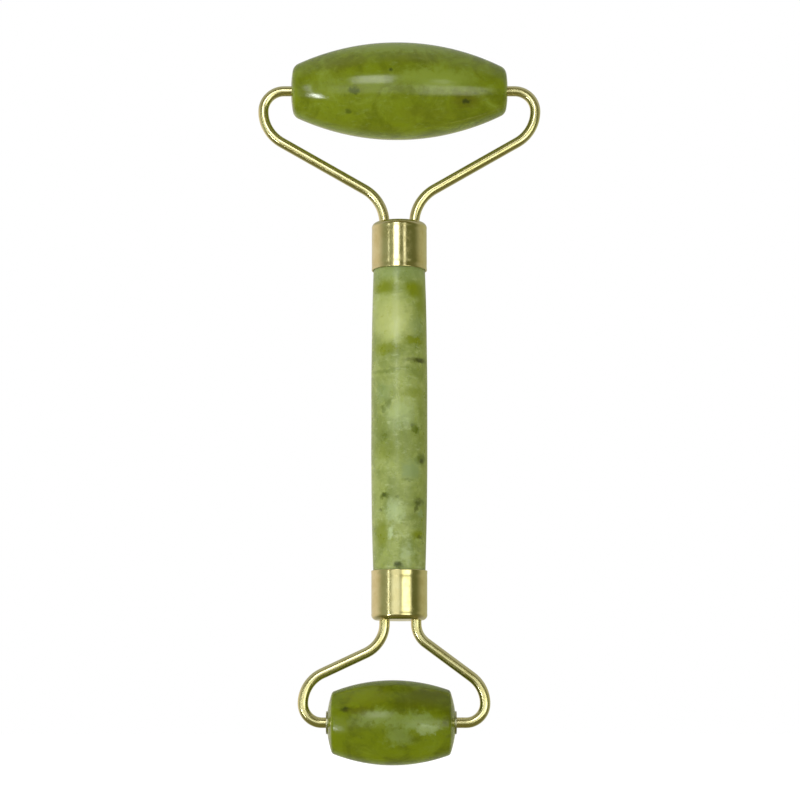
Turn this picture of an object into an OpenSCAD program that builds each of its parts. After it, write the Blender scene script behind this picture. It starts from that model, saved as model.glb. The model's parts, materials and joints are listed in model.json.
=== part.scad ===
// Double-ended stone face roller. A turned stone handle carries a brass ferrule at
// each end, and each ferrule holds a bent wire fork with a free-turning barrel roller.
// Millimetres. The handle lies along Z with the large roller at the top, both axles
// run along X, and the origin is the middle of the grip.

/* [Handle] */
// Diameter of the handle along the straight band at the middle of the grip
grip_d = 10.8; // [10.4:0.1:13]
// Length of that straight band, where a clip or the fingers hold the handle
grip_band = 10; // [4:1:20]
// Length of bare stone that shows between the two ferrules
grip_len = 57.9; // [45:0.1:90]
// Depth to which the stone is glued into each ferrule
tenon_len = 4.7; // [4:0.1:4.8]

/* [Ferrules] */
// Outside diameter of each ferrule
ferrule_d = 10.7; // [10.4:0.1:12]
// Length of each ferrule, from its mouth to its closed end
ferrule_len = 9.4; // [9.4:0.1:14]
// Wall thickness of the drawn brass
ferrule_wall = 0.25; // [0.2:0.05:0.4]
// Outside radius where the wall turns into the closed end
ferrule_corner_r = 1; // [0.6:0.1:1.6]
// Thickness of the glue between the stone and the ferrule
glue_gap = 0.1; // [0.05:0.05:0.2]

/* [Wire] */
// Diameter of the fork wire, which is also the axle of each roller
wire_d = 2; // [1.6:0.1:2.2]
// Length of the straight wire end that enters the roller, from the last bend
stub_len = 9; // [6:0.5:11]
// Length of the chamfer on the wire's ends
stub_chamfer = 0.3; // [0.1:0.1:0.5]

/* [Large fork] */
// Height of the large roller's axle above the middle of the grip
large_axle_z = 64.6; // [62:0.1:72]
// Distance from the handle's axis to the outermost wire centre, on both sides
large_reach = 26.5; // [25:0.1:30]
// Slope of the two arms above the horizontal, in degrees
large_slope = 30; // [24:1:34]
// Distance from the handle's axis to each leg in the ferrule
large_leg_x = 2.9; // [2.6:0.1:3.2]
// Length of straight leg outside the ferrule
large_leg_lead = 0; // [0:0.1:1]
// Radius of the tight bend beside the roller
large_top_r = 4; // [3:0.1:5]
// Radius of the wide bend between that bend and the arm
large_side_r = 7.2; // [5:0.1:9]

/* [Small fork] */
// Depth of the small roller's axle below the middle of the grip
small_axle_z = 57.6; // [55:0.1:66]
// Distance from the handle's axis to the outermost wire centre on the left
small_reach_left = 18.2; // [17:0.1:20]
// The same distance on the right, where this hand-bent fork is narrower
small_reach_right = 16.2; // [15:0.1:18]
// Slope of the left arm below the horizontal, in degrees
small_slope_left = 25; // [20:0.5:30]
// Slope of the right arm below the horizontal, in degrees
small_slope_right = 36.5; // [30:0.5:40]
// Distance from the handle's axis to the left leg in the ferrule
small_leg_x_left = 2.8; // [2.6:0.1:3.2]
// Distance from the handle's axis to the right leg in the ferrule
small_leg_x_right = 3.2; // [2.8:0.1:3.2]
// Length of straight leg outside the ferrule
small_leg_lead = 0.6; // [0:0.1:1.5]
// Radius of the tight bend beside the roller
small_top_r = 3.6; // [3:0.1:4.5]
// Radius of the wide bend between that bend and the arm
small_side_r = 6.2; // [5:0.1:7.5]

/* [Large roller] */
// Length of the large roller along its axle
large_len = 42.3; // [36:0.1:43]
// Greatest diameter of the large roller
large_d = 19; // [16:0.1:20]
// Radius of the barrel curve along its length
large_barrel_r = 46.8; // [44:0.2:70]
// Radius of its domed ends
large_dome_r = 21.7; // [18:0.1:40]
// Radius where the barrel curve meets a domed end
large_corner_r = 1.9; // [0.8:0.1:2.2]
// Distance of the fattest section from the middle of its length, towards +X
large_crown = -0.5; // [-1:0.1:1]
// Place of the middle of its length along the axle
large_roller_x = 0; // [-0.4:0.1:0.4]
// How far its bush flanges stand proud of the stone around them
large_bush_proud = 0; // [0:0.1:0.3]

/* [Small roller] */
// Length of the small roller along its axle
small_len = 24.3; // [20:0.1:25]
// Greatest diameter of the small roller
small_d = 16; // [14:0.1:17]
// Radius of the barrel curve along its length
small_barrel_r = 31; // [28:0.2:50]
// Radius of its domed ends
small_dome_r = 17.5; // [15:0.1:40]
// Radius where the barrel curve meets a domed end
small_corner_r = 0.8; // [0.6:0.1:2]
// Distance of the fattest section from the middle of its length, towards +X
small_crown = 0.3; // [-1:0.1:1]
// Place of the middle of its length along the axle
small_roller_x = -1.5; // [-2:0.1:-0.6]
// How far its bush flanges stand proud of the stone around them
small_bush_proud = 0.3; // [0:0.1:0.3]

/* [Bushes] */
// Diameter of the hole drilled through each roller
roller_bore_d = 3.2; // [2.9:0.1:3.6]
// Length of a bush's sleeve inside the stone
bush_len = 8; // [5:0.5:9]
// Diameter of a bush's flange
bush_flange_d = 4.3; // [4:0.1:5]
// Thickness of a bush's flange
bush_flange_t = 0.4; // [0.3:0.1:0.6]
// Gap between the wire and the bush all round, which lets the roller turn
running_gap = 0.05; // [0.02:0.01:0.08]

/* [Hidden] */
$fn = 96;

cut = 0.1;              // how far a cutting shape runs past the face that it cuts
seat_gap = 0.05;        // glue gap around a bush's flange
leg_hole_gap = 0.05;    // gap between a leg and its hole in the ferrule
hairpin_gap = 0.1;      // gap between the ferrule's end and the start of the hidden hairpin
tenon_chamfer = 0.3;    // chamfer on each end of the stone
film_setback = 0.4;     // distance from the ferrule's mouth to the edge of the glue
grip_steps = 24;        // straight steps that make up each long arc of the handle
barrel_steps = 16;      // straight steps that make up each half of a roller's barrel curve
corner_steps = 6;       // the same for each of its rounded corners
dome_steps = 8;         // the same for each of its domed ends
lap = 0.1;              // how far a straight wire piece runs on into each bend
lap_step = 0.003;       // how much smaller its radius is than the bend's
flange_chamfer = 0.1;   // chamfer on a bush's flange

mouth_z = grip_len / 2;
tenon_z = mouth_z + tenon_len;
ferrule_z = mouth_z + ferrule_len;
cavity_d = ferrule_d - 2 * ferrule_wall;
cavity_z = ferrule_z - ferrule_wall;
tenon_d = cavity_d - 2 * glue_gap;
lip_r = ferrule_wall / 2;
hairpin_z = cavity_z - hairpin_gap;
seat_d = bush_flange_d + 2 * seat_gap;

// A fork's legs are [distance of the leg, slope of the arm, distance of the outermost wire].
large_legs = [
    [large_leg_x, large_slope, large_reach],
    [large_leg_x, large_slope, large_reach]
];
small_legs = [
    [small_leg_x_left, small_slope_left, small_reach_left],
    [small_leg_x_right, small_slope_right, small_reach_right]
];

jade_dark = "#6f7d1f";
jade_pale = "#8fa05a";
gold = "#d9c27c";
bush_metal = "#b9a768";
epoxy = "#d8cf9a";

function unit(v) = v / norm(v);

// Direction of a vector, as an angle from the X axis.
function angle_of(v) = atan2(v.y, v.x);

// The points of an arc in equal steps, without its first point.
function arc(centre, r, from_angle, to_angle, steps) = [
    for (i = [1:steps])
        let (angle = from_angle + (to_angle - from_angle) * i / steps)
        centre + r * [cos(angle), sin(angle)]
];

// The same outline upside down, listed from its last point to its first.
function flipped(outline) = [
    for (i = [len(outline) - 1:-1:0]) [outline[i].x, -outline[i].y]
];

// The pie slice of a circle that lies between the directions to points p and q.
module sector(centre, r, p, q) {
    toward_p = 2 * r * unit(p - centre);
    toward_q = 2 * r * unit(q - centre);
    intersection() {
        translate(centre) circle(r);
        polygon([centre, centre + toward_p, centre + toward_p + toward_q, centre + toward_q]);
    }
}

// ---- Handle ----

// Outline of the upper half of the stone, from the top of the straight band to its end:
// one long shallow arc, tangent to the band, that thins to the tenon in the ferrule.
function upper_outline() =
    let (
        band = grip_band / 2,
        arc_len = mouth_z - band,
        thinning = (grip_d - tenon_d) / 2,
        arc_r = (arc_len * arc_len + thinning * thinning) / (2 * thinning)
    )
    concat(
        [[grip_d / 2, band]],
        arc([grip_d / 2 - arc_r, band], arc_r, 0, asin(arc_len / arc_r), grip_steps),
        [[tenon_d / 2, tenon_z - tenon_chamfer], [tenon_d / 2 - tenon_chamfer, tenon_z]],
        [[0, tenon_z]]
    );

module handle_stone() {
    color(jade_pale) rotate_extrude() polygon(concat(flipped(upper_outline()), upper_outline()));
}

// ---- Ferrules ----

// Outline of a cup's inside or outside: straight side, rounded corner, flat end.
module cup_outline(r, from_z, to_z, corner_r) {
    corner = [r - corner_r, to_z - corner_r];
    translate([0, from_z]) square([r, corner.y - from_z]);
    translate([0, corner.y - cut]) square([corner.x, corner_r + cut]);
    sector(corner, corner_r, [r, corner.y], [corner.x, to_z]);
}

// The space inside an upper ferrule, from a given height up.
module cavity(from_z) {
    rotate_extrude() cup_outline(cavity_d / 2, from_z, cavity_z, ferrule_corner_r - ferrule_wall);
}

// A drawn brass cup with a rounded lip and two leg holes in its closed end.
module ferrule(legs) {
    lip = [cavity_d / 2 + lip_r, mouth_z + lip_r];
    color(gold) difference() {
        rotate_extrude() cup_outline(ferrule_d / 2, mouth_z + lip_r, ferrule_z, ferrule_corner_r);
        cavity(mouth_z);
        for (side = [0, 1])
            translate([(2 * side - 1) * legs[side][0], 0, cavity_z - cut])
                cylinder(h = ferrule_wall + 2 * cut, d = wire_d + 2 * leg_hole_gap);
    }
    color(gold) rotate_extrude() intersection() {
        translate(lip) circle(lip_r);
        translate([0, mouth_z - cut]) square([ferrule_d, lip_r + cut]);
    }
}

// Cured epoxy: it pots the hairpin and fills the gap around the stone.
module epoxy_fill(legs) {
    color(epoxy) difference() {
        cavity(mouth_z + film_setback);
        handle_stone();
        fork_root(legs, 0);
    }
}

// ---- Forks ----

// Every wire piece lies in the XZ plane. Points are [x, z].

module wire_arc(centre, r, from_angle, sweep) {
    translate([centre.x, 0, centre.y]) rotate([90, 0, 0])
        rotate_extrude(angle = sweep, start = from_angle) translate([r, 0]) circle(d = wire_d);
}

// A straight piece laps into the bend at each of its ends, and is thinner than the bend
// by a few micrometres, so that the two make one solid.
module wire_run(p, q) {
    run = q - p;
    translate([p.x, 0, p.y]) rotate([0, atan2(run.x, run.y), 0])
        translate([0, 0, -lap]) cylinder(h = norm(run) + 2 * lap, r = wire_d / 2 - lap_step);
}

// The hidden hairpin inside the ferrule, and the two straight legs that come out of it.
module fork_root(legs, lead) {
    left = -legs[0][0];
    right = legs[1][0];
    wire_arc([(left + right) / 2, hairpin_z], (right - left) / 2, 180, 180);
    for (x = [left, right])
        wire_run([x, hairpin_z], [x, ferrule_z + lead]);
}

// One side of a fork beyond its leg, drawn on the right: shoulder, sloping arm, wide
// bend, tight bend and the straight end that the roller turns on.
module fork_side(leg, axle_z, lead, top_r, side_r) {
    leg_x = leg[0];
    slope = leg[1];
    reach = leg[2];
    along_arm = [cos(slope), sin(slope)];
    below_arm = [sin(slope), -cos(slope)];

    side_centre = [reach - side_r, axle_z - top_r];
    arm_top = side_centre + side_r * below_arm;
    lead_z = ferrule_z + lead;

    // The shoulder is the one arc that is tangent to both the leg and the arm.
    drop = arm_top.y - tan(slope) * (arm_top.x - leg_x) - lead_z;
    shoulder_r = drop / (cos(slope) - tan(slope) * (1 - sin(slope)));
    shoulder_centre = [leg_x + shoulder_r, lead_z];
    arm_foot = shoulder_centre - shoulder_r * below_arm;

    wire_arc(shoulder_centre, shoulder_r, 90 + slope, 90 - slope);
    wire_run(arm_foot, arm_top);
    wire_arc(side_centre, side_r, slope - 90, 90 - slope);
    wire_arc([reach - top_r, axle_z - top_r], top_r, 0, 90);

    translate([reach - top_r, 0, axle_z]) rotate([0, -90, 0]) {
        cylinder(h = stub_len - stub_chamfer, d = wire_d);
        translate([0, 0, stub_len - stub_chamfer])
            cylinder(h = stub_chamfer, d1 = wire_d, d2 = wire_d - 2 * stub_chamfer);
    }
}

module fork(legs, axle_z, lead, top_r, side_r) {
    color(gold) {
        fork_root(legs, lead);
        mirror([1, 0, 0]) fork_side(legs[0], axle_z, lead, top_r, side_r);
        fork_side(legs[1], axle_z, lead, top_r, side_r);
    }
}

// ---- Rollers ----

// Centre of the small arc that is tangent inside both the barrel curve and a domed end.
function corner_centre(barrel, barrel_r, dome, dome_r, corner_r) =
    let (
        a = barrel_r - corner_r,
        b = dome_r - corner_r,
        apart = norm(dome - barrel),
        toward = unit(dome - barrel),
        along = (a * a - b * b + apart * apart) / (2 * apart),
        aside = sqrt(a * a - along * along)
    )
    barrel + along * toward + aside * [-toward.y, toward.x];

// Outline of one end of a roller, from just past its fattest section to the axle: the
// barrel curve, the rounded corner and the dome. Points are [distance from the axle,
// distance along the axle].
function roller_end_outline(length, d, barrel_r, dome_r, corner_r, crown) =
    let (
        barrel = [d / 2 - barrel_r, crown],
        dome = [0, length / 2 - dome_r],
        corner = corner_centre(barrel, barrel_r, dome, dome_r, corner_r),
        barrel_end = angle_of(corner - barrel),
        corner_end = angle_of(corner - dome)
    )
    concat(
        arc(barrel, barrel_r, 0, barrel_end, barrel_steps),
        arc(corner, corner_r, barrel_end, corner_end, corner_steps),
        arc(dome, dome_r, corner_end, 90, dome_steps)
    );

// Distance from the roller's middle to the rim of a bush's seat in a domed end.
function rim_at(length, dome_r) =
    length / 2 - dome_r + sqrt(dome_r * dome_r - pow(seat_d / 2, 2));

// A barrel of stone, bored through, with a seat for a bush's flange in each domed end.
module roller(x, axle_z, length, d, barrel_r, dome_r, corner_r, crown, proud, stone) {
    right = roller_end_outline(length, d, barrel_r, dome_r, corner_r, crown);
    left = roller_end_outline(length, d, barrel_r, dome_r, corner_r, -crown);
    seat = rim_at(length, dome_r) + proud - bush_flange_t;
    color(stone) translate([x, 0, axle_z]) rotate([0, 90, 0]) difference() {
        rotate_extrude() polygon(concat(flipped(left), [[d / 2, crown]], right));
        translate([0, 0, -length]) cylinder(h = 2 * length, d = roller_bore_d);
        for (end = [-1, 1])
            translate([0, 0, end * (seat + length) - length])
                cylinder(h = 2 * length, d = seat_d);
    }
}

// A flanged metal bush, glued into one end of a roller. end is -1 for left, 1 for right.
module bush(end, x, axle_z, length, dome_r, proud) {
    face = rim_at(length, dome_r) + proud;
    translate([x + end * face, 0, axle_z]) rotate([0, -90 * end, 0])
        color(bush_metal) difference() {
            union() {
                cylinder(h = flange_chamfer, d1 = bush_flange_d - 2 * flange_chamfer, d2 = bush_flange_d);
                translate([0, 0, flange_chamfer])
                    cylinder(h = bush_flange_t - flange_chamfer, d = bush_flange_d);
                cylinder(h = bush_flange_t + bush_len, d = roller_bore_d);
            }
            translate([0, 0, -cut])
                cylinder(h = bush_flange_t + bush_len + 2 * cut, d = wire_d + 2 * running_gap);
        }
}

// ---- Sub-parts ----

module upper_ferrule() { ferrule(large_legs); }

module lower_ferrule() { mirror([0, 0, 1]) ferrule(small_legs); }

module upper_epoxy_fill() { epoxy_fill(large_legs); }

module lower_epoxy_fill() { mirror([0, 0, 1]) epoxy_fill(small_legs); }

module large_fork() {
    fork(large_legs, large_axle_z, large_leg_lead, large_top_r, large_side_r);
}

module small_fork() {
    mirror([0, 0, 1]) fork(small_legs, small_axle_z, small_leg_lead, small_top_r, small_side_r);
}

module large_roller() {
    roller(large_roller_x, large_axle_z, large_len, large_d, large_barrel_r,
        large_dome_r, large_corner_r, large_crown, large_bush_proud, jade_dark);
}

module small_roller() {
    roller(small_roller_x, -small_axle_z, small_len, small_d, small_barrel_r,
        small_dome_r, small_corner_r, small_crown, small_bush_proud, jade_dark);
}

module large_bush(end) {
    bush(end, large_roller_x, large_axle_z, large_len, large_dome_r, large_bush_proud);
}

module small_bush(end) {
    bush(end, small_roller_x, -small_axle_z, small_len, small_dome_r, small_bush_proud);
}

handle_stone();
upper_ferrule();
lower_ferrule();
upper_epoxy_fill();
lower_epoxy_fill();
large_fork();
small_fork();
large_roller();
large_bush(-1);  // large_bush_left
large_bush(1);  // large_bush_right
small_roller();
small_bush(-1);  // small_bush_left
small_bush(1);  // small_bush_right
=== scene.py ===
import json
import math

import bpy
import numpy as np
from mathutils import Matrix, Vector, geometry, noise


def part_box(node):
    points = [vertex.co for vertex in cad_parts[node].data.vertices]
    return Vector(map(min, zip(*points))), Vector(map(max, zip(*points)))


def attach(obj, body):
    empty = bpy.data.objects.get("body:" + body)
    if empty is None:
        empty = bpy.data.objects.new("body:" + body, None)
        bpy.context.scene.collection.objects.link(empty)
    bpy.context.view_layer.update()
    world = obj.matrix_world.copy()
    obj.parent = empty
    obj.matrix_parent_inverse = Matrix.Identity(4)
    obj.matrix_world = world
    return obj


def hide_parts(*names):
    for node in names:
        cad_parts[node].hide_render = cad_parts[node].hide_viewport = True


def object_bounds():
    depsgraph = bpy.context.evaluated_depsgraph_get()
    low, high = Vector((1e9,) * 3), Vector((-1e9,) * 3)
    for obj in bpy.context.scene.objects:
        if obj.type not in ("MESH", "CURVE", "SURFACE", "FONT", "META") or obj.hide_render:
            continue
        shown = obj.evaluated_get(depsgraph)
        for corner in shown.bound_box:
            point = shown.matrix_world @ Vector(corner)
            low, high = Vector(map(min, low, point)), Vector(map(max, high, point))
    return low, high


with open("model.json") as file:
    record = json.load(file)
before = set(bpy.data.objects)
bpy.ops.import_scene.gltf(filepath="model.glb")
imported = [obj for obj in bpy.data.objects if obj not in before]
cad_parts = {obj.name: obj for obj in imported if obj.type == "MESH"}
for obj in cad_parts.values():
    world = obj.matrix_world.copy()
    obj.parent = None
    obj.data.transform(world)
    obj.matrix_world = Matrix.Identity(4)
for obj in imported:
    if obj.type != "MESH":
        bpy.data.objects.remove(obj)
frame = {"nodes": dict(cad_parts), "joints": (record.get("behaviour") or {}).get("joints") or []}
cad_low, cad_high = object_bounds()

# Looks of the double-ended jade face roller: turned and polished stone, drawn brass
# ferrules, bent brass wire and bushes. Every piece is a fine mesh in place of a CAD node,
# in metres, with the handle along Z and both axles along X. Only the resin keeps the
# CAD's own mesh.

MM = 0.001

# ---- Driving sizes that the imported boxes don't hold, in metres ----

GRIP_BAND = 10 * MM          # straight stretch at the middle of the handle
TENON_CHAMFER = 0.3 * MM
FERRULE_WALL = 0.25 * MM
FERRULE_CORNER = 1.0 * MM
FERRULE_WAIST = 0.035 * MM   # depth of the faint hollow along a ferrule
FERRULE_RING = 0.022 * MM    # depth of the two faint rings pressed in it
RING_PLACES = ((0.1, 0.045), (0.84, 0.05))  # middle and width, as shares of its length
PLATE_MARGIN = 0.02 * MM     # flat ring that joins a ferrule's rounded corner to its plate
LEG_HOLE_GAP = 0.05 * MM
HAIRPIN_GAP = 0.1 * MM
GLUE_GAP = 0.1 * MM          # between the handle's tenon and a ferrule's wall
STUB_LENGTH = 9 * MM         # straight wire end that enters a roller
WIRE_TAPER = 0.3 * MM        # how much thinner the wire is at its very ends
BUSH_FLANGE = 0.4 * MM       # thickness of a bush's flange
BUSH_EDGE = 0.12 * MM        # radius of a flange's outer edge
BUSH_CHAMFER = 0.1 * MM
RUNNING_GAP = 0.05 * MM      # between the wire and a bush
SEAT_GAP = 0.05 * MM         # between a bush's flange and the stone
SEAT_R = 2.2 * MM            # radius of a bush's seat, a little over the CAD's faceted one
ROLLER_BORE = 1.6 * MM       # radius
SAME_POINT = 1e-6            # points closer than this, in metres, are one
SHARP_ANGLE = 35             # edges that turn by more degrees stay sharp

# A fork's left and right are (distance of the leg from the middle, slope of the arm in
# degrees). Its lead is how far the legs go on straight outside the ferrule, side_r is the
# radius of the wide bend at the end of each arm, and top_r that of the bend by the axle.
FORKS = {
    "large_fork": {
        "up": 1, "ferrule": "upper_ferrule", "lead": 0,
        "top_r": 4 * MM, "side_r": 7.2 * MM,
        "left": (2.9 * MM, 30), "right": (2.9 * MM, 30),
    },
    "small_fork": {
        "up": -1, "ferrule": "lower_ferrule", "lead": 0.6 * MM,
        "top_r": 3.6 * MM, "side_r": 6.2 * MM,
        "left": (2.8 * MM, 25), "right": (3.2 * MM, 36.5),
    },
}

# A roller's crown is how far its fattest section lies to the right of the middle.
ROLLERS = {
    "large_roller": {
        "joint": "large_roller_spin", "body": "large_head", "crown": -0.5 * MM,
        "barrel_r": 46.8 * MM, "dome_r": 21.7 * MM, "corner_r": 1.9 * MM,
    },
    "small_roller": {
        "joint": "small_roller_spin", "body": "small_head", "crown": 0.3 * MM,
        "barrel_r": 31 * MM, "dome_r": 17.5 * MM, "corner_r": 0.8 * MM,
    },
}

AXLES = {joint["name"]: Vector(joint["pos_m"]) for joint in frame["joints"]}


# ---- Outlines, as lists of (distance from the axis, distance along it) ----

def arc(centre, radius, start, end, steps):
    """Points of an arc in equal steps, from one angle to another in degrees."""
    angles = [math.radians(start + (end - start) * i / steps) for i in range(steps + 1)]
    return [(centre[0] + radius * math.cos(a), centre[1] + radius * math.sin(a)) for a in angles]


def line(start, end, steps):
    """Points of a straight stretch in equal steps."""
    return [
        (start[0] + (end[0] - start[0]) * i / steps, start[1] + (end[1] - start[1]) * i / steps)
        for i in range(steps + 1)
    ]


def joined(*stretches):
    """One outline from several, without the points that repeat."""
    points = []
    for stretch in stretches:
        for point in stretch:
            if not points or math.dist(points[-1], point) > SAME_POINT:
                points.append(point)
    return points


def mirrored(outline):
    """The same outline upside down, listed from its last point to its first."""
    return [(r, -t) for r, t in reversed(outline)]


def angle_of(start, end):
    """The direction from one point to another, in degrees."""
    return math.degrees(math.atan2(end[1] - start[1], end[0] - start[0]))


# ---- Relief of worn and polished surfaces ----

WIRE_WAVE = 0.006 * MM       # depth of the faint waves along drawn wire
WIRE_WAVE_LENGTH = 4 * MM
STONE_WAVE = 0.05 * MM       # depth of the waves that hand polishing leaves in the stone
STONE_WAVE_SIZE = 9 * MM


def stone_relief(seed):
    """Shallow waves of a hand-polished stone, always below its outline."""
    shift = Vector((seed * 17.3, seed * 5.1, 0))
    return lambda p: STONE_WAVE * (0.5 + 0.5 * noise.noise(p / STONE_WAVE_SIZE + shift))


def wire_relief(along, a):
    """Faint waves of drawn wire, at a distance along it and an angle a round it."""
    place = Vector((along / WIRE_WAVE_LENGTH, math.cos(a), math.sin(a)))
    return WIRE_WAVE * (0.5 + 0.5 * noise.noise(place))


# ---- Meshes ----

def new_piece(name, points, faces):
    """A mesh object that is smooth except along its sharp edges."""
    mesh = bpy.data.meshes.new(name)
    mesh.from_pydata([tuple(p) for p in points], [], faces)
    mesh.validate()
    mesh.shade_smooth()
    mesh.set_sharp_from_angle(angle=math.radians(SHARP_ANGLE))
    piece = bpy.data.objects.new(name, mesh)
    bpy.context.scene.collection.objects.link(piece)
    return piece


def turned(outline, segments, closed=False, relief=None):
    """Points, faces and rings of an outline turned round Z. A closed outline is a ring such
    as a bored part's. relief(point) is how far a surface point lies under it."""
    points, rings = [], []
    for r, t in outline:
        if r < SAME_POINT:
            rings.append([len(points)])
            points.append(Vector((0, 0, t)))
            continue
        rings.append(list(range(len(points), len(points) + segments)))
        for i in range(segments):
            a = 2 * math.pi * i / segments
            depth = relief(Vector((r * math.cos(a), r * math.sin(a), t))) if relief else 0
            points.append(Vector(((r - depth) * math.cos(a), (r - depth) * math.sin(a), t)))
    faces = []
    pairs = zip(rings, rings[1:] + rings[:1]) if closed else zip(rings, rings[1:])
    for low, high in pairs:
        for i in range(segments):
            j = (i + 1) % segments
            corners = [low[i % len(low)], low[j % len(low)], high[j % len(high)], high[i % len(high)]]
            faces.append(list(dict.fromkeys(corners)))  # three corners where a ring is one point
    return points, faces, rings


def lathe(name, outline, axis, origin, segments, closed=False, relief=None):
    """A turned piece round an axis, "X" or "Z", through origin."""
    points, faces, _ = turned(outline, segments, closed, relief)
    turn = Matrix.Rotation(math.pi / 2, 4, "Y") if axis == "X" else Matrix.Identity(4)
    place = Matrix.Translation(origin) @ turn
    return new_piece(name, [place @ p for p in points], faces)


def sweep(name, path, radius, segments):
    """A round wire along a path of (x, z) points, a little tapered at its ends."""
    points, faces, along = [], [], 0.0
    count = len(path)
    for k, (x, z) in enumerate(path):
        before, after = path[max(k - 1, 0)], path[min(k + 1, count - 1)]
        tangent = Vector((after[0] - before[0], 0, after[1] - before[1])).normalized()
        normal = Vector((-tangent.z, 0, tangent.x))
        along += math.dist(path[k], path[k - 1]) if k else 0
        for i in range(segments):
            a = 2 * math.pi * i / segments
            out = normal * math.cos(a) + Vector((0, math.sin(a), 0))
            thinner = WIRE_TAPER if k in (0, count - 1) else wire_relief(along, a)
            points.append(Vector((x, 0, z)) + out * (radius - thinner))
    for k in range(count - 1):
        for i in range(segments):
            j = (i + 1) % segments
            here, there = k * segments, (k + 1) * segments
            faces.append([here + i, there + i, there + j, here + j])
    faces.append(list(range(segments)))
    faces.append(list(range((count - 1) * segments, count * segments))[::-1])
    return new_piece(name, points, faces)


# ---- Materials ----

def socket(tree, value, target):
    """Sets an input to a constant, or links it to another node's output."""
    if isinstance(value, bpy.types.NodeSocket):
        tree.links.new(value, target)
    else:
        target.default_value = value


def add(tree, kind, inputs=None, **settings):
    """A new node with its settings and inputs, which are given by name or number."""
    made = tree.nodes.new("ShaderNode" + kind)
    for key, value in settings.items():
        setattr(made, key, value)
    for key, value in (inputs or {}).items():
        socket(tree, value, made.inputs[key])
    return made


def math_of(tree, operation, a, b=0.0):
    return add(tree, "Math", {0: a, 1: b}, operation=operation).outputs[0]


def vector_of(tree, operation, a, b):
    return add(tree, "VectorMath", {0: a, 1: b}, operation=operation).outputs[0]


def mix_colours(tree, share, a, b):
    """The colour a where share is 0 and b where it is 1."""
    made = add(tree, "Mix", {0: share, 6: a, 7: b}, data_type="RGBA")
    return made.outputs[2]


def ramp(tree, value, low, high, out_low=0.0, out_high=1.0):
    """A smooth step from out_low to out_high as value goes from low to high."""
    made = add(tree, "MapRange", {0: value, 1: low, 2: high, 3: out_low, 4: out_high})
    made.interpolation_type = "SMOOTHSTEP"
    return made.outputs[0]


def in_mm(tree, stretch=(1, 1, 1), shift=(0, 0, 0)):
    """The piece's own coordinates in millimetres, stretched and shifted."""
    place = add(tree, "TexCoord").outputs["Object"]
    scale = [s / MM for s in stretch]
    return add(tree, "Mapping", {"Vector": place, "Scale": scale, "Location": shift}).outputs[0]


def cloud(tree, vector, size, detail=4.0, roughness=0.55, distortion=0.0):
    """Noise from 0 to 1 with blobs about size millimetres wide."""
    inputs = {"Vector": vector, "Scale": 1 / size, "Detail": detail, "Roughness": roughness}
    inputs["Distortion"] = distortion
    return add(tree, "TexNoise", inputs).outputs["Fac"]


def start_material(name):
    material = bpy.data.materials.new(name)
    material.use_nodes = True
    tree = material.node_tree
    return material, tree, tree.nodes["Principled BSDF"]


def bump(tree, height, depth, strength=1.0, **under):
    """Normals of a relief of that depth, over another bump's given as Normal."""
    inputs = {"Strength": strength, "Distance": depth, "Height": height, **under}
    return add(tree, "Bump", inputs).outputs[0]


def blotch(tree, centre, size, ragged, seed):
    """A mask that is 1 inside a ragged blotch. Centre and size are in millimetres."""
    place = in_mm(tree, shift=(seed, seed, seed))
    noise_inputs = {"Vector": place, "Scale": 0.8, "Detail": 6.0, "Roughness": 0.62}
    wander = add(tree, "TexNoise", noise_inputs).outputs["Color"]
    centred = vector_of(tree, "SUBTRACT", wander, (0.5,) * 3)
    moved = vector_of(tree, "MULTIPLY", centred, (3 * ragged,) * 3)
    warped = vector_of(tree, "ADD", in_mm(tree), moved)
    offset = vector_of(tree, "SUBTRACT", warped, centre)
    scaled = vector_of(tree, "MULTIPLY", offset, [1 / s for s in size])
    reach = add(tree, "VectorMath", {0: scaled}, operation="LENGTH").outputs["Value"]
    return ramp(tree, reach, 1.4, 0.4)


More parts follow.
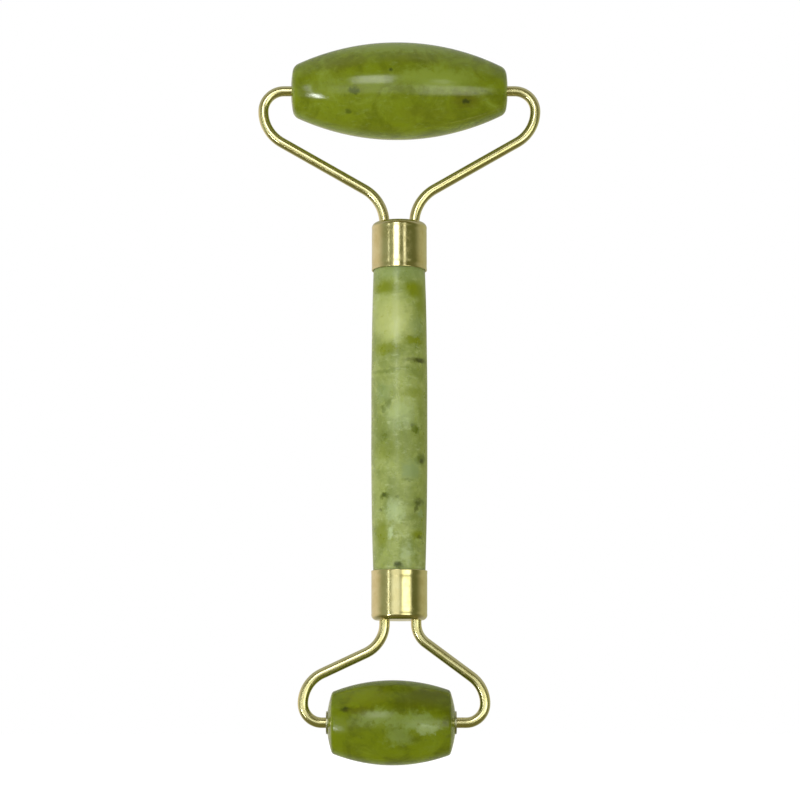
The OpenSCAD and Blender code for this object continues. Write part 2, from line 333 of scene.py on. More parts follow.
def jade(name, tones, blotches_and_painted_light, seed, gloss, ior, specks, veins, mottles):
    """Polished jade: clouds of three tones, whitish veins and wisps, patches of given tones at given
    places, dark specks in crowds, light that passes a little way into the stone, and a faint
    orange-peel polish. Some of the placed patches are painted light: painted shade, painted
    highlights, a painted glint and a painted reflection. gloss is the lowest and highest roughness."""
    material, tree, shader = start_material(name)
    dark, middle, pale, white, speck = tones
    place = in_mm(tree, shift=(seed * 31.7, seed * 11.3, seed * 7.9))

    clouds = cloud(tree, place, 6.5, 6.0, 0.62, 0.8)
    colour = mix_colours(tree, ramp(tree, clouds, 0.36, 0.6), dark, middle)
    patches = cloud(tree, in_mm(tree, shift=(seed, 40, 9)), 10.4, 7.0, 0.65, 1.4)
    colour = mix_colours(tree, ramp(tree, patches, 0.5, 0.72), colour, pale)
    threads = cloud(tree, in_mm(tree, (1, 1, 1.5), (seed, 4, 9)), 3.25, 8.0, 0.68, 2.2)
    colour = mix_colours(tree, ramp(tree, threads, 0.57, 0.8, 0, veins), colour, white)
    mottle = cloud(tree, in_mm(tree, shift=(seed, 2, 77)), 2.0, 6.0, 0.68, 0.6)
    colour = mix_colours(tree, ramp(tree, mottle, 0.5, 0.72, 0, mottles), colour, dark)
    wisps = cloud(tree, in_mm(tree, (1, 1, 2.2), (seed, 52, 7)), 1.9, 6.0, 0.66, 0.2)
    colour = mix_colours(tree, ramp(tree, wisps, 0.52, 0.76, 0, mottles), colour, white)
    grain = cloud(tree, place, 0.35, 4.0, 0.7)
    colour = mix_colours(tree, ramp(tree, grain, 0.35, 0.8, 0, 0.2), colour, pale)
    # Some of these patches are painted light, not stone: painted shade, painted highlights, a painted
    # glint and a painted reflection.
    for k, (centre, size, ragged, tone, strength) in enumerate(blotches_and_painted_light):
        mask = blotch(tree, centre, size, ragged, seed * 3.1 + k * 5.7)
        colour = mix_colours(tree, math_of(tree, "MULTIPLY", mask, strength), colour, tone)
    crowd = ramp(tree, cloud(tree, in_mm(tree, shift=(5, seed, 60)), 8, 3.0), 0.5, 0.66)
    dots = ramp(tree, cloud(tree, in_mm(tree, shift=(9, seed, 3)), 0.7, 3.0, 0.55), 0.6, 0.74)
    share = math_of(tree, "MULTIPLY", math_of(tree, "MULTIPLY", crowd, dots), specks)
    colour = mix_colours(tree, share, colour, speck)

    shader.inputs["IOR"].default_value = ior
    shader.inputs["Subsurface Weight"].default_value = 0.5
    shader.inputs["Subsurface Radius"].default_value = (1.0, 1.0, 0.3)
    shader.inputs["Subsurface Scale"].default_value = 1.2 * MM
    socket(tree, colour, shader.inputs["Base Color"])
    polish = ramp(tree, cloud(tree, place, 2.4, 5.0), 0.3, 0.75, gloss[0], gloss[1])
    socket(tree, polish, shader.inputs["Roughness"])
    peel = cloud(tree, place, 1.6, 3.0, 0.4)
    socket(tree, bump(tree, peel, 0.02 * MM, 0.6), shader.inputs["Normal"])
    return material


def brass(name, bright, deep, roughness, line_stretch, dents, lines_strength, pitted):
    """Polished brass: faint tarnish clouds, tiny pits, fine lines from drawing or turning,
    smears, and dents of a depth in metres."""
    material, tree, shader = start_material(name)
    place = in_mm(tree)
    tarnish = ramp(tree, cloud(tree, place, 2.6, 5.0, 0.6), 0.35, 0.75)
    colour = mix_colours(tree, tarnish, bright, deep)
    pits = ramp(tree, cloud(tree, place, 0.16, 2.0), 0.68, 0.76, 0, pitted)
    colour = mix_colours(tree, pits, colour, TARNISH)
    lines = cloud(tree, in_mm(tree, line_stretch), 0.5, 4.0, 0.6)
    smear = cloud(tree, place, 1.3, 4.0, 0.6)
    smeared = ramp(tree, smear, 0.35, 0.75, roughness, roughness * 1.8)
    rough = math_of(tree, "ADD", smeared, math_of(tree, "MULTIPLY", lines, 0.03))
    shader.inputs["Metallic"].default_value = 1.0
    socket(tree, colour, shader.inputs["Base Color"])
    socket(tree, rough, shader.inputs["Roughness"])
    dented = bump(tree, cloud(tree, place, 2.2, 2.0, 0.4), dents)
    lined = bump(tree, lines, 0.004 * MM, lines_strength, Normal=dented)
    socket(tree, lined, shader.inputs["Normal"])
    return material


def resin(name):
    """Cured epoxy: a cloudy yellowish resin with fine bubbles."""
    material, tree, shader = start_material(name)
    place = in_mm(tree)
    colour = mix_colours(tree, cloud(tree, place, 1.5), AMBER, HONEY)
    bubbles = ramp(tree, cloud(tree, place, 0.25, 1.0), 0.68, 0.74)
    socket(tree, mix_colours(tree, bubbles, colour, FOAM), shader.inputs["Base Color"])
    socket(tree, ramp(tree, bubbles, 0, 1, 0.18, 0.4), shader.inputs["Roughness"])
    shader.inputs["Subsurface Weight"].default_value = 0.4
    shader.inputs["Subsurface Scale"].default_value = 0.8 * MM
    return material


def on_handle(x, z):
    """The point near the front of the handle at that place, in millimetres."""
    depth = 5.2
    return (x, -math.sqrt(depth ** 2 - x ** 2), z)


def on_roller(name, x, z):
    """The point on the front of a roller, x along the axle and z above it, in millimetres."""
    axle = AXLES[ROLLERS[name]["joint"]] / MM
    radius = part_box(name)[1].z / MM - axle.z
    barrel_r = ROLLERS[name]["barrel_r"] / MM
    local = radius - x ** 2 / (2 * barrel_r)
    return (axle.x + x, -math.sqrt(local ** 2 - z ** 2), axle.z + z)


# Tones, as linear red, green, blue and alpha. A stone's are dark, middle, pale, white, speck.
SPECK = (0.03, 0.038, 0.004, 1)
HALO = (0.085, 0.085, 0.002, 1)
ROLLER_TONES = (
    (0.094, 0.116, 0.001, 1), (0.135, 0.17, 0.004, 1),
    (0.172, 0.215, 0.022, 1), (0.22, 0.275, 0.08, 1), SPECK,
)
SMALL_TONES = (
    (0.075, 0.09, 0.001, 1), (0.118, 0.15, 0.001, 1),
    (0.15, 0.19, 0.012, 1), (0.22, 0.27, 0.09, 1), SPECK,
)
HANDLE_TONES = (
    (0.155, 0.193, 0.035, 1), (0.247, 0.29, 0.075, 1),
    (0.3, 0.338, 0.115, 1), (0.38, 0.43, 0.21, 1), SPECK,
)
MOSS = (0.085, 0.115, 0.004, 1)
BOTTLE = (0.04, 0.054, 0.0, 1)
BARK = (0.04, 0.046, 0.0, 1)
STRAW = (0.36, 0.39, 0.13, 1)
MUSTARD_AND_SHADE = (0.15, 0.182, 0.002, 1)
FROST_AND_GLINT = (0.42, 0.5, 0.28, 1)
SEA = (0.185, 0.24, 0.085, 1)
CREAM = (0.42, 0.46, 0.2, 1)
PEA_PAINTED_LIGHT = (0.18, 0.228, 0.03, 1)
LIME = (0.17, 0.2, 0.0, 1)
CLOVER_AND_SHEEN = (0.155, 0.2, 0.03, 1)
SAGE_AND_SHEEN = (0.165, 0.215, 0.045, 1)
CELERY_AND_SHEEN = (0.17, 0.22, 0.05, 1)
LAUREL = (0.072, 0.08, 0.001, 1)
WIRE_GOLD = (0.8, 0.72, 0.42, 1)
DEEP_WIRE_GOLD = (0.72, 0.63, 0.32, 1)
GOLD = (0.73, 0.64, 0.36, 1)
DEEP_GOLD = (0.65, 0.55, 0.27, 1)
SATIN_GOLD = (0.6, 0.58, 0.42, 1)
DEEP_SATIN_GOLD = (0.48, 0.45, 0.3, 1)
TARNISH = (0.3, 0.24, 0.1, 1)
AMBER = (0.62, 0.52, 0.28, 1)
HONEY = (0.75, 0.68, 0.42, 1)
FOAM = (0.9, 0.88, 0.75, 1)

# Blotches are (centre, size, raggedness, tone, strength), with sizes in millimetres. A few are painted
# light instead of the stone's own colour: a painted shade, painted highlights, a painted glint and a
# painted reflection, each marked where it stands.
HANDLE_BLOTCHES_AND_SHADE = [
    # Painted shade: a long darker olive band down the handle's right side, where less light falls.
    ((5.0, -1.6, 0.0), (1.7, 3.4, 34.0), 1.2, MUSTARD_AND_SHADE, 0.5),
    ((0, 0, 28.0), (9.0, 9.0, 1.6), 1.0, SEA, 0.5),
    (on_handle(-3.0, 25.0), (3.0, 3.0, 1.4), 0.8, MUSTARD_AND_SHADE, 1.0),
    (on_handle(3.2, 24.6), (2.6, 3.0, 1.6), 0.8, MUSTARD_AND_SHADE, 1.0),
    (on_handle(4.6, 22.0), (1.5, 3.4, 2.6), 1.0, MUSTARD_AND_SHADE, 0.8),
    (on_handle(-1.6, 18.8), (4.4, 3.6, 4.2), 1.6, STRAW, 0.85),
    (on_handle(-0.6, 17.2), (1.6, 2.4, 2.4), 1.2, CREAM, 0.6),
    (on_handle(3.2, 17.6), (2.0, 2.4, 1.6), 1.2, SEA, 0.4),
    (on_handle(-2.6, 13.1), (3.2, 3.0, 1.2), 0.9, MUSTARD_AND_SHADE, 0.85),
    (on_handle(3.0, 14.7), (2.8, 3.4, 0.7), 0.9, MUSTARD_AND_SHADE, 0.95),
    (on_handle(3.4, 10.9), (2.6, 3.0, 0.6), 0.6, BARK, 0.6),
    (on_handle(3.8, 10.95), (1.3, 1.6, 0.35), 0.4, BARK, 0.8),
    (on_handle(-3.2, 8.7), (2.8, 2.4, 0.3), 0.7, MOSS, 0.45),
    (on_handle(-0.4, 9.3), (2.4, 2.0, 0.25), 0.7, MOSS, 0.3),
    (on_handle(2.8, 4.7), (3.2, 3.0, 0.9), 0.9, MUSTARD_AND_SHADE, 0.5),
    (on_handle(-3.2, 4.4), (2.0, 2.2, 2.0), 1.4, SEA, 0.6),
    (on_handle(-2.0, 2.6), (0.8, 1.4, 1.0), 0.9, MOSS, 0.75),
    (on_handle(-3.0, 1.5), (0.7, 1.2, 0.7), 0.8, MOSS, 0.8),
    (on_handle(3.1, -2.3), (0.9, 1.4, 0.8), 0.8, MOSS, 0.95),
    (on_handle(2.5, -1.7), (0.5, 0.8, 0.4), 0.6, BOTTLE, 0.6),
    (on_handle(-2.9, -3.6), (1.3, 1.6, 1.1), 1.2, MOSS, 0.6),
    (on_handle(-2.4, -6.6), (3.0, 3.0, 1.8), 1.6, MUSTARD_AND_SHADE, 0.4),
    (on_handle(4.0, -8.0), (1.2, 2.0, 1.2), 0.8, MOSS, 0.9),
    (on_handle(4.1, -8.4), (0.55, 0.9, 0.6), 0.5, BARK, 0.9),
    (on_handle(2.2, -10.4), (2.1, 2.4, 2.0), 1.4, SEA, 0.9),
    (on_handle(1.6, -12.1), (1.3, 1.6, 0.3), 0.6, MOSS, 0.5),
    (on_handle(-2.7, -15.0), (1.0, 1.4, 0.7), 0.8, MOSS, 0.95),
    (on_handle(-2.9, -14.9), (0.45, 0.8, 0.35), 0.4, BOTTLE, 0.8),
    (on_handle(-0.3, -15.3), (0.5, 0.8, 0.4), 0.5, MOSS, 0.7),
    (on_handle(3.6, -16.2), (1.0, 1.4, 0.8), 0.8, BOTTLE, 0.8),
    (on_handle(3.1, -17.6), (0.4, 0.8, 0.8), 0.6, BOTTLE, 0.7),
    (on_handle(4.0, -18.4), (0.8, 1.2, 0.7), 0.6, SEA, 0.8),
    (on_handle(-3.5, -17.7), (0.35, 0.6, 0.3), 0.4, BARK, 0.6),
    (on_handle(-1.0, -18.0), (2.0, 2.4, 2.4), 1.4, FROST_AND_GLINT, 0.45),
    (on_handle(-3.4, -22.4), (1.9, 2.2, 2.4), 1.4, MUSTARD_AND_SHADE, 0.75),
    (on_handle(-1.7, -22.2), (0.55, 0.9, 1.3), 0.8, FROST_AND_GLINT, 0.6),
    (on_handle(3.5, -22.4), (1.5, 2.2, 0.9), 0.9, MUSTARD_AND_SHADE, 1.0),
    (on_handle(3.9, -22.9), (0.7, 1.2, 0.35), 0.5, BARK, 0.5),
    (on_handle(1.4, -26.2), (1.2, 1.8, 2.2), 1.6, FROST_AND_GLINT, 0.3),
    (on_handle(-0.2, -28.1), (0.8, 1.2, 0.7), 0.6, BOTTLE, 0.95),
    (on_handle(0.2, 0.2), (3.2, 2.4, 2.8), 1.6, FROST_AND_GLINT, 0.28),
]
# The back carries a sparser copy of the front's pattern, turned half round and slid along.
HANDLE_BLOTCHES_AND_SHADE += [
    ((-centre[0], -centre[1], 0.92 * centre[2] - 1.6), size, ragged, tone, strength)
    for centre, size, ragged, tone, strength in HANDLE_BLOTCHES_AND_SHADE[2::4]
]
LARGE_BLOTCHES_AND_PAINTED_LIGHT = [
    (on_roller("large_roller", 13.0, -3.6), (3.0, 2.6, 1.7), 1.2, HALO, 0.7),
    (on_roller("large_roller", 13.0, -3.7), (0.75, 1.0, 0.45), 0.7, SPECK, 0.95),
    (on_roller("large_roller", -1.6, 1.8), (0.4, 0.6, 0.4), 0.2, SPECK, 0.95),
    (on_roller("large_roller", -8.7, -2.0), (1.0, 1.2, 0.7), 0.8, BOTTLE, 0.75),
    (on_roller("large_roller", -9.8, -5.6), (0.6, 0.9, 0.4), 0.4, SPECK, 0.6),
    (on_roller("large_roller", -10.6, 3.6), (4.6, 3.0, 1.6), 1.6, HALO, 0.5),
    (on_roller("large_roller", 2.5, 4.5), (5.5, 3.0, 1.5), 1.8, HALO, 0.35),
    # Painted light: a paler green patch over the upper front of the large roller, as if lit from
    # above.
    (on_roller("large_roller", 0.0, 7.6), (15.0, 4.0, 1.9), 1.4, PEA_PAINTED_LIGHT, 0.75),
    # Painted highlight: a paler green band along the middle right, where the low right panel's
    # reflection lies.
    (on_roller("large_roller", 8.0, 0.4), (10.0, 3.0, 2.2), 1.6, PEA_PAINTED_LIGHT, 0.9),
    (on_roller("large_roller", 6.0, -6.2), (6.5, 3.0, 1.6), 1.8, HALO, 0.3),
]
SMALL_BLOTCHES_AND_PAINTED_LIGHT = [
    # Partly painted reflection: these three paler greens across the small roller's middle are partly
    # the stone's tone and partly a painted soft reflection of the front lights.
    (on_roller("small_roller", -1.5, 1.0), (6.0, 3.0, 1.5), 2.2, CLOVER_AND_SHEEN, 0.8),
    (on_roller("small_roller", 5.0, 0.2), (4.0, 3.0, 1.6), 2.2, SAGE_AND_SHEEN, 0.8),
    (on_roller("small_roller", 1.5, -2.4), (2.6, 2.4, 2.0), 2.0, CELERY_AND_SHEEN, 0.6),
    (on_roller("small_roller", 6.0, 4.6), (5.5, 3.0, 2.6), 1.8, LAUREL, 0.75),
    (on_roller("small_roller", -4.6, 4.8), (4.6, 3.0, 2.4), 1.6, LIME, 0.55),
    # Painted glint: a whitish patch on the small roller's right side.
    (on_roller("small_roller", 7.0, -1.2), (2.4, 2.2, 0.8), 1.2, FROST_AND_GLINT, 0.3),
    (on_roller("small_roller", -8.6, 2.4), (1.0, 1.1, 0.5), 0.6, SPECK, 0.9),
    (on_roller("small_roller", -6.6, 2.3), (2.6, 2.0, 0.6), 0.9, HALO, 0.6),
]

JADE_HANDLE = jade(
    "jade_handle", HANDLE_TONES, HANDLE_BLOTCHES_AND_SHADE, seed=1,
    gloss=(0.26, 0.38), ior=1.47, specks=0.3, veins=0.5, mottles=0.65,
)
JADE_LARGE = jade(
    "jade_large_roller", ROLLER_TONES, LARGE_BLOTCHES_AND_PAINTED_LIGHT, seed=2,
    gloss=(0.11, 0.17), ior=1.53, specks=0.3, veins=0.2, mottles=0.3,
)
JADE_SMALL = jade(
    "jade_small_roller", SMALL_TONES, SMALL_BLOTCHES_AND_PAINTED_LIGHT, seed=3,
    gloss=(0.17, 0.24), ior=1.37, specks=0.3, veins=0.1, mottles=0.1,
)
WIRE_BRASS = brass(
    "brass_wire", WIRE_GOLD, DEEP_WIRE_GOLD, roughness=0.17,
    line_stretch=(2, 2, 2), dents=0.002 * MM, lines_strength=0.01, pitted=0.08,
)
CUP_BRASS = brass(
    "brass_ferrule", GOLD, DEEP_GOLD, roughness=0.125,
    line_stretch=(0.2, 0.2, 6), dents=0.02 * MM, lines_strength=0.35, pitted=0.35,
)
BUSH_BRASS = brass(
    "brass_bush", SATIN_GOLD, DEEP_SATIN_GOLD, roughness=0.25,
    line_stretch=(6, 0.2, 0.2), dents=0.0, lines_strength=0.3, pitted=0.3,
)
EPOXY = resin("cured_epoxy")


def dress(piece, material, body, slot, *nodes):
    """Gives a piece its material and its body, and hides the nodes that it stands for. slot is not
    used.
    """
    piece.data.materials.clear()
    piece.data.materials.append(material)
    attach(piece, body)
    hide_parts(*nodes)


# ---- Handle ----

def make_handle():
    """The turned stone: a straight band, and one long arc on each side down to a tenon."""
    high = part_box("handle_stone")[1]
    ferrule_low, ferrule_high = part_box("upper_ferrule")
    mouth = ferrule_low.z
    tenon_r = ferrule_high.x - FERRULE_WALL - GLUE_GAP
    grip_r, band, tenon_z = high.x, GRIP_BAND / 2, high.z
    reach, thinning = mouth - band, grip_r - tenon_r
    arc_r = (reach ** 2 + thinning ** 2) / (2 * thinning)
    sweep_angle = math.degrees(math.asin(reach / arc_r))
    upper = joined(
        line((grip_r, 0), (grip_r, band), 10),
        arc((grip_r - arc_r, band), arc_r, 0, sweep_angle, 60),
        line((tenon_r, mouth), (tenon_r, tenon_z - TENON_CHAMFER), 6),
        line((tenon_r, tenon_z - TENON_CHAMFER), (tenon_r - TENON_CHAMFER, tenon_z), 1),
        line((tenon_r - TENON_CHAMFER, tenon_z), (0, tenon_z), 4),
    )
    outline = joined(mirrored(upper), upper)
    stone = lathe("handle_jade_stone", outline, "Z", (0, 0, 0), 160, relief=stone_relief(1))
    dress(stone, JADE_HANDLE, "handle", "handle_jade", "handle_stone")


# ---- Ferrules ----

def ferrule_outline(r, mouth, end):
    """A drawn cup's section, from its plate's inner face round to the outer one: rolled
    lip, a waist with a faint ring near each end, rounded corners."""
    def side_r(z):
        t = (z - mouth) / (end - mouth)
        rings = FERRULE_RING * sum(math.exp(-((t - at) / width) ** 2) for at, width in RING_PLACES)
        return r - FERRULE_WAIST * math.sin(math.pi * t) ** 0.5 - rings

    lip = FERRULE_WALL / 2
    corner = FERRULE_CORNER
    inner = corner - FERRULE_WALL
    side = [(side_r(z), z) for z in np.linspace(mouth + lip, end - corner, 90)]
    flat_r, inner_flat_r = side[-1][0] - corner, r - FERRULE_WALL - inner
    return joined(
        line((inner_flat_r - PLATE_MARGIN, end - FERRULE_WALL), (inner_flat_r, end - FERRULE_WALL), 1),
        arc((inner_flat_r, end - FERRULE_WALL - inner), inner, 90, 0, 12),
        line((r - FERRULE_WALL, end - corner), (r - FERRULE_WALL, mouth + lip), 20),
        arc((r - lip, mouth + lip), lip, 180, 360, 12),
        side,
        arc((flat_r, end - corner), corner, 0, 90, 18),
        line((flat_r, end), (flat_r - PLATE_MARGIN, end), 1),
    )


def add_plate(points, faces, rim, holes, facing):
    """Fills a flat rim around its holes with faces that look up (1) or down (-1)."""
    loops = [rim, *holes]
    order = [i for loop in loops for i in loop]
    for triangle in geometry.tessellate_polygon([[points[i] for i in loop] for loop in loops]):
        a, b, c = (order[i] for i in triangle)
        looks = (points[b] - points[a]).cross(points[c] - points[a]).z
        faces.append([a, b, c] if looks * facing > 0 else [a, c, b])


def make_ferrule(name, fork_name):
    """A turned cup that ends in a flat plate with a hole for each of the fork's legs."""
    low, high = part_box(name)
    fork = FORKS[fork_name]
    mouth, end = (low.z, high.z) if fork["up"] > 0 else (-high.z, -low.z)
    points, faces, rings = turned(ferrule_outline(high.x, mouth, end), 144)
    hole_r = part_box(fork_name)[1].y + LEG_HOLE_GAP
    steps = 48
    turn = [2 * math.pi * i / steps for i in range(steps)]
    inner_holes, outer_holes = [], []
    for x in (-fork["left"][0], fork["right"][0]):
        for holes, z in ((inner_holes, end - FERRULE_WALL), (outer_holes, end)):
            holes.append(list(range(len(points), len(points) + steps)))
            points.extend(Vector((x + hole_r * math.cos(a), hole_r * math.sin(a), z)) for a in turn)
        under, over = inner_holes[-1], outer_holes[-1]
        for i in range(steps):
            j = (i + 1) % steps
            faces.append([under[i], over[i], over[j], under[j]])
    add_plate(points, faces, rings[0], inner_holes, -1)
    add_plate(points, faces, rings[-1], outer_holes, 1)
    cup = new_piece(name + "_cup", points, faces)
    if fork["up"] < 0:
        cup.data.transform(Matrix.Scale(-1, 4, (0, 0, 1)))
        cup.data.flip_normals()
    dress(cup, CUP_BRASS, "handle", "gold_brass", name)


# ---- Forks ----

def fork_side(leg, slope, reach, axle_z, lead_z, top_r, side_r):
    """One side of a fork from its ferrule to its end in the roller, drawn to the right
    and upwards: shoulder, sloping arm, wide bend, tight bend and straight end. lead_z is
    where the straight leg ends."""
    a = math.radians(slope)
    below = Vector((math.sin(a), -math.cos(a)))
    side_centre = Vector((reach - side_r, axle_z - top_r))
    arm_top = side_centre + side_r * below
    drop = arm_top.y - math.tan(a) * (arm_top.x - leg) - lead_z
    shoulder_r = drop / (math.cos(a) - math.tan(a) * (1 - math.sin(a)))
    shoulder = Vector((leg + shoulder_r, lead_z))
    arm_foot = shoulder - shoulder_r * below
    top = (reach - top_r, axle_z - top_r)
    return joined(
        arc(shoulder, shoulder_r, 180, 90 + slope, 24),
        line(arm_foot, arm_top, 24),
        arc(side_centre, side_r, slope - 90, 0, 26),
        arc(top, top_r, 0, 90, 26),
        line((top[0], axle_z), (top[0] - STUB_LENGTH, axle_z), 12),
    )


def make_fork(name):
    """One piece of wire: an arm on each side, and a hairpin hidden in the ferrule."""
    fork = FORKS[name]
    low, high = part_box(name)
    wire_r = high.y
    up = fork["up"]
    end = abs(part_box(fork["ferrule"])[1 if up > 0 else 0].z)
    axle_z = (high.z if up > 0 else -low.z) - wire_r
    reaches = {"left": -low.x - wire_r, "right": high.x - wire_r}
    hairpin_z = end - FERRULE_WALL - HAIRPIN_GAP
    lead_z = end + fork["lead"]
    sides = {}
    for side in ("left", "right"):
        leg, slope = fork[side]
        arm = fork_side(leg, slope, reaches[side], axle_z, lead_z, fork["top_r"], fork["side_r"])
        sides[side] = joined(line((leg, hairpin_z), (leg, lead_z), 4), arm)
    left_leg, right_leg = -fork["left"][0], fork["right"][0]
    hairpin = arc(((left_leg + right_leg) / 2, hairpin_z), (right_leg - left_leg) / 2, 180, 360, 36)
    path = joined([(-x, z) for x, z in reversed(sides["left"])], hairpin, sides["right"])
    path = [(x, up * z) for x, z in path]
    wire = sweep(name + "_wire", path, wire_r, 40)
    dress(wire, WIRE_BRASS, "handle", "gold_brass", name)


# ---- Rollers and bushes ----

def roller_end(length, r, barrel_r, dome_r, corner_r, crown):
    """Outline of a roller's end, from its fattest section, which is crown off the middle,
    to the axle."""
    barrel, dome = (r - barrel_r, crown), (0, length / 2 - dome_r)
    a, b, apart = barrel_r - corner_r, dome_r - corner_r, math.dist(barrel, dome)
    toward = (Vector(dome) - Vector(barrel)) / apart
    along = (a * a - b * b + apart * apart) / (2 * apart)
    aside = math.sqrt(a * a - along * along)
    corner = Vector(barrel) + along * toward + aside * Vector((-toward.y, toward.x))
    barrel_end, corner_end = angle_of(barrel, corner), angle_of(dome, corner)
    return joined(
        arc(barrel, barrel_r, 0, barrel_end, 56),
        arc(corner, corner_r, barrel_end, corner_end, 18),
        arc(dome, dome_r, corner_end, 90, 30),
    )


def uncut_length(dome_r, rim):
    """Full length of a stone before it is bored, whose domes meet the seats' rims at that
    distance from the middle."""
    return 2 * (rim + dome_r - math.sqrt(dome_r ** 2 - SEAT_R ** 2))


def make_roller(name, material):
    """A turned barrel with domed ends, bored through, with a seat for a bush in each end."""
    form = ROLLERS[name]
    low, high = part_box(name)
    axle = AXLES[form["joint"]]
    length, r = high.x - low.x, high.z - axle.z
    seat_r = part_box(name.replace("roller", "bush_left"))[1].y + SEAT_GAP
    seats = {
        "left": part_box(name.replace("roller", "bush_left"))[0].x + BUSH_FLANGE - axle.x,
        "right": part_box(name.replace("roller", "bush_right"))[1].x - BUSH_FLANGE - axle.x,
    }

    def bored(outline, seat):
        """An end's outline down to the rim of the bush's seat, and then into the bore."""
        kept = [p for p in outline if p[0] > seat_r]
        rim = outline[len(kept)]
        share = (kept[-1][0] - seat_r) / (kept[-1][0] - rim[0])
        rim_t = kept[-1][1] + share * (rim[1] - kept[-1][1])
        return joined(kept, [(seat_r, rim_t), (seat_r, seat), (ROLLER_BORE, seat)])

    shape = (form["barrel_r"], form["dome_r"], form["corner_r"])
    full = uncut_length(form["dome_r"], length / 2)
    right = bored(roller_end(full, r, *shape, form["crown"]), seats["right"])
    left = bored(roller_end(full, r, *shape, -form["crown"]), -seats["left"])
    bore = line((ROLLER_BORE, seats["right"]), (ROLLER_BORE, seats["left"]), 30)
    outline = joined(mirrored(left), right, bore)[:-1]
    relief = stone_relief(len(name) + r / MM)
    stone = lathe(name + "_stone", outline, "X", axle, 176, closed=True, relief=relief)
    dress(stone, material, form["body"], "roller_jade", name)


def make_bush(name, side):
    """A flanged bush with rounded flange edges. side is -1 for left and 1 for right."""
    low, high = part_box(name)
    head = name.split("_")[0]
    form = ROLLERS[head + "_roller"]
    axle = AXLES[form["joint"]]
    face = (high.x if side > 0 else low.x) - axle.x
    inner_end = (low.x if side > 0 else high.x) - axle.x
    flange_r = high.y
    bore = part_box(head + "_fork")[1].y + RUNNING_GAP
    length = abs(face - inner_end)
    outline = joined(
        arc((flange_r - BUSH_EDGE, length - BUSH_EDGE), BUSH_EDGE, 90, 0, 8),
        line((flange_r, length - BUSH_EDGE), (flange_r, length - BUSH_FLANGE), 2),
        line((flange_r, length - BUSH_FLANGE), (ROLLER_BORE, length - BUSH_FLANGE), 3),
        line((ROLLER_BORE, length - BUSH_FLANGE), (ROLLER_BORE, 0), 8),
        line((ROLLER_BORE, 0), (bore, 0), 2),
        line((bore, 0), (bore, length - BUSH_CHAMFER), 8),
        line((bore, length - BUSH_CHAMFER), (bore + BUSH_CHAMFER, length), 2),
        line((bore + BUSH_CHAMFER, length), (flange_r - BUSH_EDGE, length), 4),
    )[:-1]
    outline = [(r, inner_end + side * t) for r, t in outline]
    if side > 0:
        outline.reverse()
    bush = lathe(name + "_sleeve", outline, "X", axle, 64, closed=True)
    dress(bush, BUSH_BRASS, form["body"], "bush_brass", name)


# ---- Resin ----

def dress_resin():
    """The two fills are hidden, so the CAD's own meshes stand for them."""
    for node in ("upper_epoxy_fill", "lower_epoxy_fill"):
        fill = frame["nodes"][node].data
        fill.materials.clear()
        fill.materials.append(EPOXY)


# ---- The stage: floor, light and camera ----

VIEW_DISTANCE = 0.470
VIEW_RISE = -7.64            # degrees above the horizon that the camera stands
AIM_ABOVE_GRIP = 3.8 * MM
AIM_RIGHT = 0.13 * MM
LENS = 110.2                 # focal length in millimetres
FLOOR_SIZE = 4.0
FLOOR_DROP = 0.02 * MM       # how far the floor lies under the object
LIGHT_DISTANCE = 0.9


def make_camera():
    """The camera of the photo, a little below the object's middle and looking up at it."""
    camera = bpy.data.objects.new("camera", bpy.data.cameras.new("camera"))
    camera.data.lens = LENS
    camera.data.sensor_width = 36
    camera.data.clip_start = 0.01
    rise = math.radians(VIEW_RISE)
    back = Vector((0, -math.cos(rise), math.sin(rise)))
    camera.location = Vector((AIM_RIGHT, 0, AIM_ABOVE_GRIP)) + back * VIEW_DISTANCE
    camera.rotation_euler = (-back).to_track_quat("-Z", "Y").to_euler()
    bpy.context.scene.collection.objects.link(camera)
    bpy.context.scene.camera = camera


def make_floor():
    """A pale floor, wide enough to fill every view."""
    steps = 8
    row = steps + 1
    places = [FLOOR_SIZE * (i / steps - 0.5) for i in range(row)]
    points = [(x, y, cad_low.z - FLOOR_DROP) for x in places for y in places]
    corners = [i * row + j for i in range(steps) for j in range(steps)]
    faces = [[k, k + row, k + row + 1, k + 1] for k in corners]
    floor = new_piece("floor", points, faces)
    material, tree, shader = start_material("pale_floor")
    grain = cloud(tree, in_mm(tree), 60, 3.0)
    colour = mix_colours(tree, grain, (0.3, 0.3, 0.3, 1), (0.34, 0.34, 0.34, 1))
    socket(tree, colour, shader.inputs["Base Color"])
    shader.inputs["Roughness"].default_value = 0.9
    shader.inputs["Specular IOR Level"].default_value = 0.0
    shader.inputs["Emission Color"].default_value = (1, 1, 1, 1)
    shader.inputs["Emission Strength"].default_value = 0.93
    floor.data.materials.append(material)
    floor.visible_glossy = False
    floor.visible_shadow = False


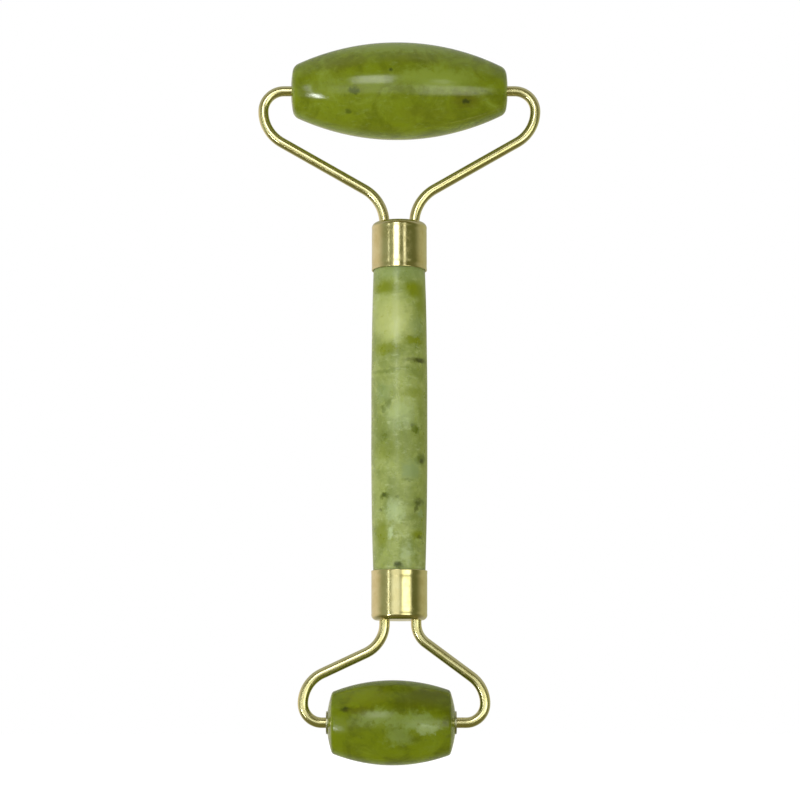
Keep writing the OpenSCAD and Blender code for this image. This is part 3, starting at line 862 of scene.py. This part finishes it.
def make_world():
    """A room that is bright behind and above the object and dim in front, darker on the
    right. The camera itself sees plain white."""
    world = bpy.data.worlds.new("studio")
    bpy.context.scene.world = world
    world.use_nodes = True
    tree = world.node_tree
    tree.nodes.clear()
    way = add(tree, "TexCoord").outputs["Generated"]
    parts = add(tree, "SeparateXYZ", {0: way})
    right, back, up = parts.outputs["X"], parts.outputs["Y"], parts.outputs["Z"]
    level = ramp(tree, math_of(tree, "ABSOLUTE", up), 0.5, 0.15)
    across = ramp(tree, right, -0.75, 0.6)

    # Each half is mixed from its left and right at eye level, and its tone above and below.
    dim = mix_colours(tree, across, (0.36, 0.41, 0.27, 1), (0.14, 0.16, 0.06, 1))
    dim = mix_colours(tree, level, (0.17, 0.17, 0.06, 1), dim)
    bright = mix_colours(tree, across, (0.86, 0.8, 0.7, 1), (0.5, 0.51, 0.33, 1))
    bright = mix_colours(tree, level, (0.46, 0.48, 0.42, 1), bright)

    # The bright half starts behind the object, and sooner at the sides and high up.
    aside = math_of(tree, "MULTIPLY", math_of(tree, "ABSOLUTE", right), 0.35)
    rising, sinking = math_of(tree, "MULTIPLY", up, 0.9), math_of(tree, "MULTIPLY", up, 0.4)
    above = math_of(tree, "MAXIMUM", rising, sinking)
    reach = math_of(tree, "ADD", math_of(tree, "ADD", back, aside), above)
    room = mix_colours(tree, ramp(tree, reach, 0.05, 0.8), dim, bright)

    lit = add(tree, "Background", {"Color": room, "Strength": 1.0}).outputs[0]
    plain = add(tree, "Background", {"Color": (1, 1, 1, 1), "Strength": 1.0}).outputs[0]
    seen = add(tree, "LightPath").outputs["Is Camera Ray"]
    mixed = add(tree, "MixShader", {0: seen, 1: lit, 2: plain}).outputs[0]
    tree.links.new(mixed, add(tree, "OutputWorld").inputs["Surface"])


def softbox(
    name, azimuth, elevation, width, height, radiance,
    edge=0.3, glossy=True, colour=(0.97, 1, 1),
):
    """A soft panel of light that faces the handle's middle and fades out along its edges.
    Its place and size are angles in degrees, seen from there: azimuth 0 is where the camera
    stands and 90 is on the right. edge is the share of its width that fades."""
    lamp = bpy.data.lights.new(name, "AREA")
    lamp.shape = "RECTANGLE"
    lamp.size = 2 * LIGHT_DISTANCE * math.tan(math.radians(width / 2))
    lamp.size_y = 2 * LIGHT_DISTANCE * math.tan(math.radians(height / 2))
    lamp.color = colour
    lamp.energy = radiance * math.pi * lamp.size * lamp.size_y
    lamp.use_nodes = True
    tree = lamp.node_tree
    place = add(tree, "SeparateXYZ", {0: add(tree, "NewGeometry").outputs["Parametric"]})
    fade = 1.0
    for part in ("X", "Y"):
        t = place.outputs[part]
        inward = math_of(tree, "MINIMUM", t, math_of(tree, "SUBTRACT", 1.0, t))
        fade = math_of(tree, "MULTIPLY", fade, ramp(tree, inward, 0.0, edge))
    tree.links.new(fade, tree.nodes["Emission"].inputs["Strength"])
    panel = bpy.data.objects.new(name, lamp)
    a, e = math.radians(azimuth), math.radians(elevation)
    way = Vector((math.sin(a) * math.cos(e), -math.cos(a) * math.cos(e), math.sin(e)))
    panel.location = way * LIGHT_DISTANCE
    panel.rotation_euler = way.to_track_quat("Z", "Y").to_euler()
    panel.visible_camera = False
    panel.visible_glossy = glossy
    bpy.context.scene.collection.objects.link(panel)


def make_lights():
    """Six panels that show as glints and bands, and two that only fill."""
    softbox("high_front", azimuth=-12, elevation=18, width=26, height=25, radiance=4.6)
    softbox(
        "low_right", azimuth=29, elevation=-7, width=50, height=32, radiance=2.5,
        colour=(0.95, 1, 0.85),
    )
    softbox("upper_right", azimuth=22, elevation=14, width=12, height=14, radiance=1.6)
    softbox("slim_left", azimuth=-45, elevation=-2, width=3, height=40, radiance=5.0)
    softbox("glint_left", azimuth=-45, elevation=-20, width=4.5, height=15, radiance=34.0)
    softbox("low_front", azimuth=-14, elevation=-4, width=50, height=30, radiance=0.85)
    softbox(
        "fill", azimuth=-46, elevation=10, width=65, height=65, radiance=1.3,
        edge=0.1, glossy=False,
    )
    softbox(
        "fill_above", azimuth=-10, elevation=72, width=60, height=60, radiance=0.9,
        edge=0.1, glossy=False,
    )


make_camera()
make_world()
make_floor()
make_lights()
make_handle()
make_ferrule("upper_ferrule", "large_fork")
make_ferrule("lower_ferrule", "small_fork")
make_fork("large_fork")
make_fork("small_fork")
make_roller("large_roller", JADE_LARGE)
make_roller("small_roller", JADE_SMALL)
for head in ("large", "small"):
    make_bush(head + "_bush_left", -1)
    make_bush(head + "_bush_right", 1)
dress_resin()

bpy.context.scene.view_settings.view_transform = "Standard"
